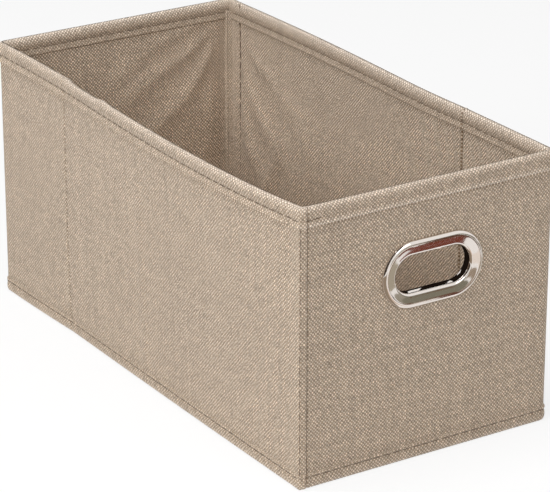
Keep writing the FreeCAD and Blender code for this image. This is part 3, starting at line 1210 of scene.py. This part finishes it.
class BASKET_OT_corners(bpy.types.Operator):
    """Make the cloth and tapes round the four corners"""

    bl_idname = "basket.corners"
    bl_label = "Corners"

    def cloths(self, name, lines, put, place, nodes):
        """The outer cloth and the lining round one corner."""
        outer = layer(f"outer_strip_{name}", lines, 0, TAPE, CORNER_CLOTH, rise_step=5 * MM)
        put(outer, place, finish("woven_outer_cloth"), "outer_cloth", nodes)
        inner = layer(f"inner_strip_{name}", lines, 1, TAPE, CORNER_CLOTH, rise_step=5 * MM)
        put(inner, place, finish("woven_lining_cloth"), "lining_cloth")

    def folding(self, corner, cloth_lines, tape_lines):
        """A corner across a fold joint: its cloths and its rim and hem tapes."""
        self.cloths(corner, cloth_lines, bend, corner, [f"{corner}_corner_strip"])
        weave = finish("woven_binding_tape")
        bend(rim_tape(f"rim_corner_{corner}", tape_lines), corner, weave, "binding_tape")
        bend(hem_tape(f"hem_corner_{corner}", tape_lines), corner, weave, "binding_tape")

    def open_corner(self):
        """The front right corner: a quarter wrap on each wall, one inside the other."""
        weave = finish("woven_binding_tape")
        for wall, nest in (("right_front", 0.0), ("front", NEST)):
            inner_radius = NARROW_PIVOT - THICK + nest * 0.5
            lines = narrow_corner_uprights("front_right", NARROW_PIVOT - nest, inner_radius)
            hold(rim_tape(f"rim_corner_{wall}", lines, nest), wall, weave, "binding_tape")
            hold(hem_tape(f"hem_corner_{wall}", lines, nest), wall, weave, "binding_tape", hem=True)
            nodes = ["front_right_corner_strip"] if wall == "front" else []
            self.cloths(wall, lines, hold, wall, nodes)

    def execute(self, context):
        for corner in ("front_left", "back_right"):
            lines = wide_corner_uprights(corner)
            self.folding(corner, lines, wide_corner_uprights(corner, strip=False))
        lines = narrow_corner_uprights("back_left", NARROW_PIVOT, NARROW_PIVOT - THICK)
        self.folding("back_left", lines, lines)
        self.open_corner()
        return {"FINISHED"}


class BASKET_OT_creases(bpy.types.Operator):
    """Make the sewn creases of the two long walls"""

    bl_idname = "basket.creases"
    bl_label = "Creases"

    def execute(self, context):
        weave = finish("woven_binding_tape")
        for name, side in CREASES:
            lines = crease_uprights(side, *CLOTH_GROOVE)
            heights = spread(*CORNER_CLOTH, 5 * MM)
            faces = [[[line.at(share, TAPE, z) for z in heights] for line in lines] for share in (0, 1)]
            # The inner face gets painted shade in the right wall's sewn crease
            wear = [[-painted_shade(line, z) * share for z in heights] for share in (0, 1) for line in lines]
            runs = [line.run for line in lines]
            cloth = sheet_solid(f"seam_{name}", *faces, runs, heights, wear=wear)
            bend(cloth, name, finish("woven_outer_cloth"), "outer_cloth", [f"{name}_strip"])
            rim = rim_tape(f"rim_{name}", crease_uprights(side, *RIM_GROOVE), step=rim_step)
            bend(rim, name, weave, "binding_tape")
            hem = hem_tape(f"hem_{name}", crease_uprights(side, *HEM_GROOVE))
            bend(hem, name, weave, "binding_tape")
        return {"FINISHED"}


def rim_row(line):
    """Height of the rim's stitch row."""
    return TOP - rim_reach(line) * sizes().rim_row


def hem_row(line):
    """Height of the hem's stitch row."""
    return sizes().hem_row


class BASKET_OT_stitching(bpy.types.Operator):
    """Sew the rows along the rim, the hem, the corners and the creases"""

    bl_idname = "basket.stitching"
    bl_label = "Stitching"

    # How deep the stitches lie in the tapes, along the level rows and across the rim
    sunk = 0.12 * MM
    rim_sunk = 0.1 * MM

    def level_row(self, uprights, share, height):
        return [line.at(share, self.sunk, height(line)) for line in uprights]

    def upright_row(self, line, share, inset, span):
        return [line.at(share, inset, z) for z in spread(*span, 4 * MM)]

    def execute(self, context):
        tape_edge = TOP - sizes().rim_tape
        across_rim = (tape_edge, TOP - 2 * MM)
        tall = (HEM_TOP + 2 * MM, tape_edge - 0.5 * MM)
        seed = 1
        for wall in WALLS:
            uprights = wall_uprights(wall)
            rows = [self.level_row(uprights, share, rim_row) for share in (0, 1)]
            if wall == "front":
                rows = rows[1:]
            if wall == "right_rear":
                seam = next(line for line in uprights if abs(line.place[1] - SEAM_LINE) < 0.1 * MM)
                rows.append(self.upright_row(seam, 1, self.rim_sunk, across_rim))
                rows.append(self.upright_row(seam, 1, TAPE + 0.05 * MM, (50 * MM, tape_edge - MM)))
            hold(stitches(f"rim_stitches_{wall}", rows, seed), wall, None, "binding_tape")
            rows = [self.level_row(uprights, share, hem_row) for share in (0, 1)]
            hem = stitches(f"hem_stitches_{wall}", rows, seed + 20)
            hold(hem, wall, None, "binding_tape", hem=True)
            seed += 1
        for corner in ("front_left", "back_right"):
            uprights = wide_corner_uprights(corner, strip=False)
            seam, edge = [uprights[CORNER_SEAM.index(point) + 1] for point in (RIDGE_TOP, CORNER_EDGE)]
            rows = [
                self.level_row(uprights, 0, rim_row),
                self.level_row(uprights, 1, rim_row),
                self.level_row(uprights, 0, hem_row),
                self.upright_row(seam, 0, TAPE - 0.1 * MM, tall),
                self.upright_row(edge, 0, TAPE, tall),
                self.upright_row(seam, 0, self.rim_sunk, across_rim),
            ]
            bend(stitches(f"corner_stitches_{corner}", rows, seed), corner, None, "binding_tape")
            seed += 1
        for name, side in CREASES:
            lines = crease_uprights(side, *CLOTH_GROOVE)
            middle = lines[len(lines) // 2]
            rows = [self.upright_row(middle, share, TAPE, tall) for share in (0, 1)]
            bend(stitches(f"crease_stitches_{name}", rows, seed), name, None, "binding_tape")
            seed += 1
        return {"FINISHED"}


class BASKET_OT_eyelet(bpy.types.Operator):
    """Press the oval eyelet and finish the ring behind it"""

    bl_idname = "basket.eyelet"
    bl_label = "Handle eyelet"

    # The pressed sheet's section. On the flange: share of its width, counted from the grip hole,
    # and height over the cloth in mm. On the barrel: offset from the hole's radius and height.
    FLANGE_SEEN = (
        (1.0, -0.05), (1.0, 0.4), (0.985, 0.95), (0.95, 1.45), (0.89, 1.85), (0.81, 2.1),
        (0.73, 2.2), (0.66, 2.16), (0.56, 2.0), (0.44, 1.8), (0.32, 1.6), (0.22, 1.45),
        (0.16, 1.37), (0.11, 1.25), (0.06, 1.0), (0.02, 0.62), (0.004, 0.25),
    )
    BARREL = (
        (0.0, -0.3), (0.0, -2.0), (0.0, -3.7), (0.12, -4.1), (0.5, -4.35), (1.2, -4.38),
        (2.0, -4.25), (1.95, -3.7), (1.2, -3.7), (0.7, -3.62), (0.6, -3.3), (0.6, -0.2),
    )
    FLANGE_UNSEEN = (
        (0.1, 0.3), (0.17, 0.64), (0.3, 0.86), (0.5, 1.2), (0.7, 1.5), (0.82, 1.36),
        (0.9, 0.95), (0.925, 0.4), (0.93, -0.05),
    )
    # Radius of the turns of the line that the section is swept along
    turn_radius = 14 * MM

    def oval_tree(self):
        """Sweeps a section round an oval of two half rounds and two straight runs."""
        number = "NodeSocketFloat"
        tree, given = new_tree("pressed_oval_ring", {"Straight": number, "Turn radius": number})
        section = add(tree, "GeometryNodeMeshToCurve", {"Mesh": given["Geometry"]})
        radius = given["Turn radius"]
        tall = add(tree, MATH, [radius, 2.0], operation="MULTIPLY")
        wide = add(tree, MATH, [tall, given["Straight"]], operation="ADD")
        outline = add(tree, "GeometryNodeCurvePrimitiveQuadrilateral", {"Width": wide, "Height": tall})
        turns = {"Curve": outline, "Radius": radius, "Count": 28, "Limit Radius": True}
        oval = add(tree, "GeometryNodeFilletCurve", turns, mode="POLY")
        ring = add(tree, "GeometryNodeCurveToMesh", {"Curve": oval, "Profile Curve": section})
        return end_tree(tree, given, ring)

    def execute(self, context):
        low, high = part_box("handle_eyelet")
        middle, half_straight = eyelet_oval()
        hole, edge = hole_radius(), (high.z - low.z) / 2
        section = [(hole + share * (edge - hole), proud) for share, proud in self.FLANGE_SEEN]
        section += [(hole + offset * MM, proud) for offset, proud in self.BARREL]
        section += [(hole + share * (edge - hole), proud) for share, proud in self.FLANGE_UNSEEN]
        section = [Vector((r - self.turn_radius, proud * MM, 0)) for r, proud in section]
        mesh = bpy.data.meshes.new("handle_eyelet_ring")
        edges = [(i, (i + 1) % len(section)) for i in range(len(section))]
        mesh.from_pydata(section, edges, [])
        piece = new_object("handle_eyelet_ring", mesh)
        chrome = finish("polished_chrome_plate")
        values = {"Straight": half_straight * 2, "Turn radius": self.turn_radius, "Material": chrome}
        run_tree(piece, self.oval_tree(), values)
        self.stand_up(piece, middle)
        hold(piece, "front", None, "polished_chrome", ["handle_eyelet"])
        coat(frame["nodes"]["handle_clamp_ring"], chrome)
        return {"FINISHED"}

    def stand_up(self, piece, middle):
        """Turns the flat oval up into the front wall, its domed side outwards."""
        face_y = -HALF_LENGTH + TAPE
        for vertex in piece.data.vertices:
            x, y, z = vertex.co
            vertex.co = (middle.x + x, face_y + z, middle.z + y)
        work = bmesh.new()
        work.from_mesh(piece.data)
        bmesh.ops.remove_doubles(work, verts=work.verts, dist=1e-6)
        bmesh.ops.recalc_face_normals(work, faces=work.faces)
        work.to_mesh(piece.data)
        work.free()
        piece.data.set_sharp_from_angle(angle=math.radians(60))


def rounded_loop(half_x, half_y, radius, z, steps=8):
    """The points of a rounded rectangle at one height."""
    points = []
    for quarter in range(4):
        angle_0 = quarter * math.pi / 2
        centre_x = (half_x - radius) * (1 if quarter in (0, 3) else -1)
        centre_y = (half_y - radius) * (1 if quarter in (0, 1) else -1)
        for i in range(steps + 1):
            angle = angle_0 + math.pi / 2 * i / steps
            x = centre_x + radius * math.cos(angle)
            y = centre_y + radius * math.sin(angle)
            points.append(Vector((x, y, z)))
    return points


class BASKET_OT_bottom(bpy.types.Operator):
    """Make the bottom cloth and the base insert's cover"""

    bl_idname = "basket.bottom"
    bl_label = "Bottom cloth and base insert"

    # The cover's section from the middle of its top to its turned-under edge:
    # inset from the insert's outline and depth below its top, in mm
    COVER = ((40, 0), (8, 0), (2.2, 0.02), (1.0, 0.16), (0.35, 0.5), (0.05, 1.0))
    corner_radius, least_radius = 9 * MM, 1.5 * MM
    turn_under = 15 * MM
    edge_zone = 5 * MM
    # The bottom cloth's grid, how far inside its CAD solid its faces lie, and its waves
    grid = 4 * MM
    inside_solid = 0.1 * MM
    wave_height, waves_per_metre, wave_seed = 0.12 * MM, 30, 7.0

    def execute(self, context):
        self.bottom_cloth()
        self.cover()
        coat(frame["nodes"]["base_board"], finish("pressed_greyboard"))
        return {"FINISHED"}

    def bottom_cloth(self):
        low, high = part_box("bottom_cloth")
        xs = spread(low.x, high.x, self.grid)
        ys = spread(low.y, high.y, self.grid)

        def wave(x, y):
            place = Vector((x * self.waves_per_metre, y * self.waves_per_metre, self.wave_seed))
            return self.wave_height * noise.noise(place)

        faces = []
        for z in (high.z - self.inside_solid, low.z + self.inside_solid):
            faces.append([[Vector((x, y, z + wave(x, y))) for x in xs] for y in ys])
        piece = sheet_solid("bottom_cloth_sheet", *faces, ys, xs)
        coat(piece, finish("woven_lining_cloth"))
        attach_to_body(piece, "left_front_wall")
        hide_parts("bottom_cloth")
        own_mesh(piece)

    def cover(self):
        low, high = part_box("base_cover")
        board_low, board_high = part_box("base_board")
        thickness = high.z - board_high.z
        top = [(inset * MM, high.z - drop * MM) for inset, drop in self.COVER]
        under = [(inset, low.z + high.z - z) for inset, z in reversed(top[2:])]
        seen = top + under + [(thickness + self.turn_under, low.z)]
        inside = [(inset if inset > self.edge_zone else max(inset, thickness), z) for inset, z in seen]
        inside = [(inset, min(max(z, board_low.z), board_high.z)) for inset, z in inside]
        work = bmesh.new()
        uv = work.loops.layers.uv.new("cloth")
        rings = []
        for inset, z in seen + inside[::-1]:
            radius = max(self.corner_radius - inset, self.least_radius)
            loop = rounded_loop(high.x - inset, high.y - inset, radius, z)
            rings.append([work.verts.new(p) for p in loop])
        count = len(rings[0])
        for ring, following in zip(rings, rings[1:]):
            for i in range(count):
                j = (i + 1) % count
                work.faces.new((ring[i], ring[j], following[j], following[i]))
        work.faces.new(rings[0])
        work.faces.new(rings[-1])
        bmesh.ops.recalc_face_normals(work, faces=work.faces)
        for face in work.faces:
            for loop in face.loops:
                loop[uv].uv = (loop.vert.co.x, loop.vert.co.y + loop.vert.co.z)
        piece = from_bmesh("base_insert_cover", work, 40)
        coat(piece, finish("woven_lining_cloth"))
        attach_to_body(piece, "base_insert")
        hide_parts("base_cover")


class StageSettings(bpy.types.PropertyGroup):
    """Camera and light."""

    yaw: FloatProperty(
        name="Camera yaw",
        description="Looking direction, turned from +Y towards +X",
        default=math.radians(32.77),
        subtype="ANGLE",
    )
    pitch: FloatProperty(
        name="Camera pitch",
        description="How far the camera looks down",
        default=math.radians(21.92),
        subtype="ANGLE",
    )
    lens: FloatProperty(
        name="Lens", description="Focal length in millimetres", default=193.0, subtype="DISTANCE_CAMERA"
    )
    sky: FloatProperty(
        name="Room light", description="Strength of the even light from all round", default=0.3, min=0.0
    )
    key: power("Key light", "Power of the large lamp on the left", 13.4)
    fill: power("Fill light", "Power of the lamp above the camera", 8.8)
    top: power("Top light", "Power of the lamp overhead", 10.4)


def settings():
    return bpy.context.scene.basket_stage


class BASKET_OT_stage(bpy.types.Operator):
    """Set the camera, the floor and the studio light"""

    bl_idname = "basket.stage"
    bl_label = "Stage"

    camera_place = Vector((-0.7974, -1.2514, 0.6591))
    # The lamps point at the middle of the basket
    aim = Vector((0, 0, 0.08))
    floor_half = 6.0

    def camera(self):
        yaw, pitch = settings().yaw, settings().pitch
        level = math.cos(pitch)
        looking = Vector((math.sin(yaw) * level, math.cos(yaw) * level, -math.sin(pitch)))
        data = bpy.data.cameras.new("camera")
        data.lens = settings().lens
        data.sensor_width = 36.0
        data.clip_start = 0.05
        data.dof.use_dof = False
        camera = new_object("camera", data)
        camera.location = self.camera_place
        camera.rotation_euler = looking.to_track_quat("-Z", "Y").to_euler()
        bpy.context.scene.camera = camera

    def flat_piece(self, name, corners, material):
        mesh = bpy.data.meshes.new(name)
        mesh.from_pydata([Vector(corner) for corner in corners], [], [(0, 1, 2, 3)])
        mesh.materials.append(material)
        piece = new_object(name, mesh)
        return piece

    def painted_reflection(self, name, text, corners):
        """A painted reflection: a glowing card that only the polished metal mirrors."""
        material = bpy.data.materials.new(name)
        material.use_nodes = True
        tree = material.node_tree
        tree.nodes.clear()
        glow = add(tree, "ShaderNodeEmission", {"Color": linear(text), "Strength": 1.0})
        add(tree, "ShaderNodeOutputMaterial", {"Surface": glow})
        piece = self.flat_piece(name, corners, material)
        for rays in ("camera", "diffuse", "shadow", "transmission", "volume_scatter"):
            setattr(piece, f"visible_{rays}", False)

    def lamp(self, name, place, size, watts):
        data = bpy.data.lights.new(name, "AREA")
        data.shape = "RECTANGLE"
        data.size, data.size_y = size
        data.energy = watts
        lamp = new_object(name, data)
        lamp.location = place
        lamp.rotation_euler = (self.aim - Vector(place)).to_track_quat("-Z", "Y").to_euler()

    def world(self):
        """Even room light, which the camera and metal see as white."""
        world = bpy.data.worlds.new("white_room")
        world.use_nodes = True
        tree = world.node_tree
        tree.nodes.clear()
        room = add(tree, "ShaderNodeBackground", {"Color": (1, 1, 1, 1), "Strength": settings().sky})
        white = add(tree, "ShaderNodeBackground", {"Color": (1, 1, 1, 1), "Strength": 1.0})
        mixed = add(tree, "ShaderNodeMixShader", [seen_rays(tree), room, white])
        add(tree, "ShaderNodeOutputWorld", {"Surface": mixed})
        bpy.context.scene.world = world

    def execute(self, context):
        context.scene.view_settings.view_transform = "Standard"
        self.camera()
        self.world()
        half = self.floor_half
        corners = [(x * half, y * half, 0.0) for x, y in ((-1, -1), (1, -1), (1, 1), (-1, 1))]
        self.flat_piece("floor", corners, studio_floor())
        # Glowing cards that paint reflections into the chrome, dark ones and two white glints; those on the
        # floor lie just above it: name, colour, one corner and the two edges from it
        low = 0.0005
        painted_reflections = (
            ("brown_card", "7A4438", (0.083, -0.271, low), (0.037, 0, 0), (0, 0.0235, 0)),
            ("grey_card", "B2AB9B", (0.127, -0.345, low), (0.14, 0, 0), (0, 0.125, 0)),
            ("cream_card", "F6EEE7", (0.05, -0.44, low), (0.13, 0, 0), (0, 0.09, 0)),
            ("brown_strip", "6E4A3C", (0.095, -0.271, 2 * low), (0.03, 0, 0), (0.42, -0.69, 0)),
            ("crest_card", "1A1210", (0.175, -0.455, 3 * low), (0.055, 0, 0), (0, 0.085, 0)),
            ("near_card", "A59787", (0.1, -0.75, low), (0.2, 0, 0), (0, 0.25, 0)),
            ("bend_card", "A39E92", (0.3, -0.7, low), (0.47, 0, 0), (0, 0.45, 0)),
            ("beige_card", "E1CDBE", (0.0, -0.345, low), (0.06, 0, 0), (0, 0.105, 0)),
            ("far_card", "868375", (0.3, -1.3, low), (0.7, 0, 0), (0, 0.6, 0)),
            ("green_card", "868375", (0.05, -1.2, 0.0), (1.35, 0.45, 0), (0, 0, 0.12)),
            ("left_floor_card", "9C8E7E", (-0.6, -0.62, low), (0.6, 0, 0), (0, 0.46, 0)),
            ("dark_card", "241F1C", (-1.6, 1.3, 0.35), (2.6, 0, 0), (0, 0, 1.6)),
            ("left_card", "4A4038", (-0.8, -1.9, 0.0), (0, 2.0, 0), (0, 0, 1.42)),
            ("overhead_card", "4A4038", (-0.8, -2.2, 1.45), (0.85, 0, 0), (0, 2.1, 0)),
            ("inner_card", "1C1612", (-0.03, -0.12, 0.06), (0.1, 0, 0), (0, 0, 0.09)),
            ("left_glint_card", "FFFFFF", (0.011, -0.121, 0.105), (0.008, 0, 0), (0, 0, 0.008)),
            ("right_glint_card", "FFFFFF", (0.036, -0.121, 0.105), (0.007, 0, 0), (0, 0, 0.009)),
        )
        for name, text, corner, along, up in painted_reflections:
            a, b, c = Vector(corner), Vector(along), Vector(up)
            self.painted_reflection(name, text, (a, a + b, a + b + c, a + c))
        self.lamp("key", (-1.4, -0.45, 1.0), (0.6, 0.6), settings().key)
        self.lamp("fill", (0.2, -1.6, 1.3), (1.2, 0.8), settings().fill)
        self.lamp("top", (-0.35, 0.0, 1.5), (0.6, 0.6), settings().top)
        return {"FINISHED"}


class BASKET_PT_panel(bpy.types.Panel):
    """Lists the basket's steps in the sidebar"""

    bl_idname = "BASKET_PT_panel"
    bl_label = "Folding fabric basket"
    bl_space_type = "VIEW_3D"
    bl_region_type = "UI"
    bl_category = "Basket"

    def draw(self, context):
        for operator in OPERATORS:
            self.layout.operator(operator.bl_idname)
        for group in ("basket_sizes", "basket_colours", "basket_stage"):
            box = self.layout.box()
            holder = getattr(context.scene, group)
            for name in holder.__annotations__:
                box.prop(holder, name)


OPERATORS = (
    BASKET_OT_stage,
    BASKET_OT_boards,
    BASKET_OT_cloths,
    BASKET_OT_tapes,
    BASKET_OT_corners,
    BASKET_OT_creases,
    BASKET_OT_stitching,
    BASKET_OT_eyelet,
    BASKET_OT_bottom,
)
GROUPS = {"basket_sizes": BasketSizes, "basket_colours": BasketColours, "basket_stage": StageSettings}


def register():
    for each in (*GROUPS.values(), *OPERATORS, BASKET_PT_panel):
        bpy.utils.register_class(each)
    for name, group in GROUPS.items():
        setattr(bpy.types.Scene, name, PointerProperty(type=group))


def unregister():
    for name in GROUPS:
        delattr(bpy.types.Scene, name)
    for each in (BASKET_PT_panel, *reversed(OPERATORS), *reversed(GROUPS.values())):
        bpy.utils.unregister_class(each)


def main():
    """Makes everything."""
    register()
    for operator in OPERATORS:
        group, name = operator.bl_idname.split(".")
        getattr(getattr(bpy.ops, group), name)()


if __name__ == "__main__":
    main()
